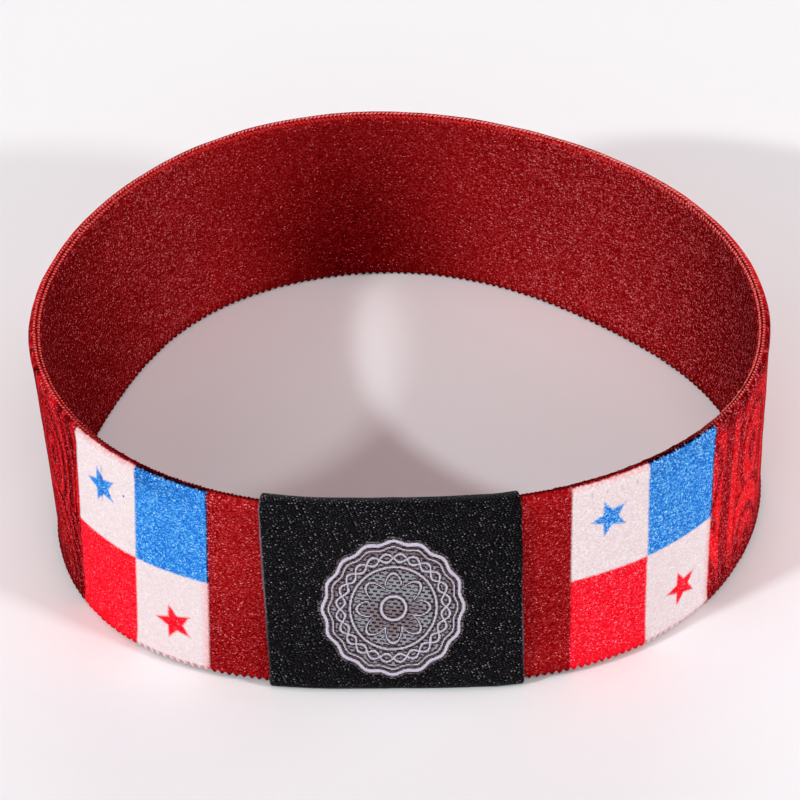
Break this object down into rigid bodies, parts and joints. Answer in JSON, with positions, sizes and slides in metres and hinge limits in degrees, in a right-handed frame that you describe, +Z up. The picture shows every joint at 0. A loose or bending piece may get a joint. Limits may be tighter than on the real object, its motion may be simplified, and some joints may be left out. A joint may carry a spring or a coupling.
{
  "type": "woven wristband",
  "caption": "Elastic webbing wristband standing as an open loop, its join covered by a woven label folded round it.",
  "frame": {"origin": "middle of the loop's box seen from above, on the surface that the lower edges stand on", "axes": "+Z up along the loop's axis, +Y from the label to the back of the loop, so the label faces -Y, and +X to the right of the label seen from outside"},
  "size_m": [0.0683, 0.0622, 0.0209],
  "materials": {
    "elastic_webbing": "printed elastic webbing with woven edges",
    "label_cloth": "black woven satin label cloth"
  },
  "bodies": {
    "root": {"elastic_band": "elastic_webbing", "woven_label": "label_cloth"}
  },
  "joints": []
}
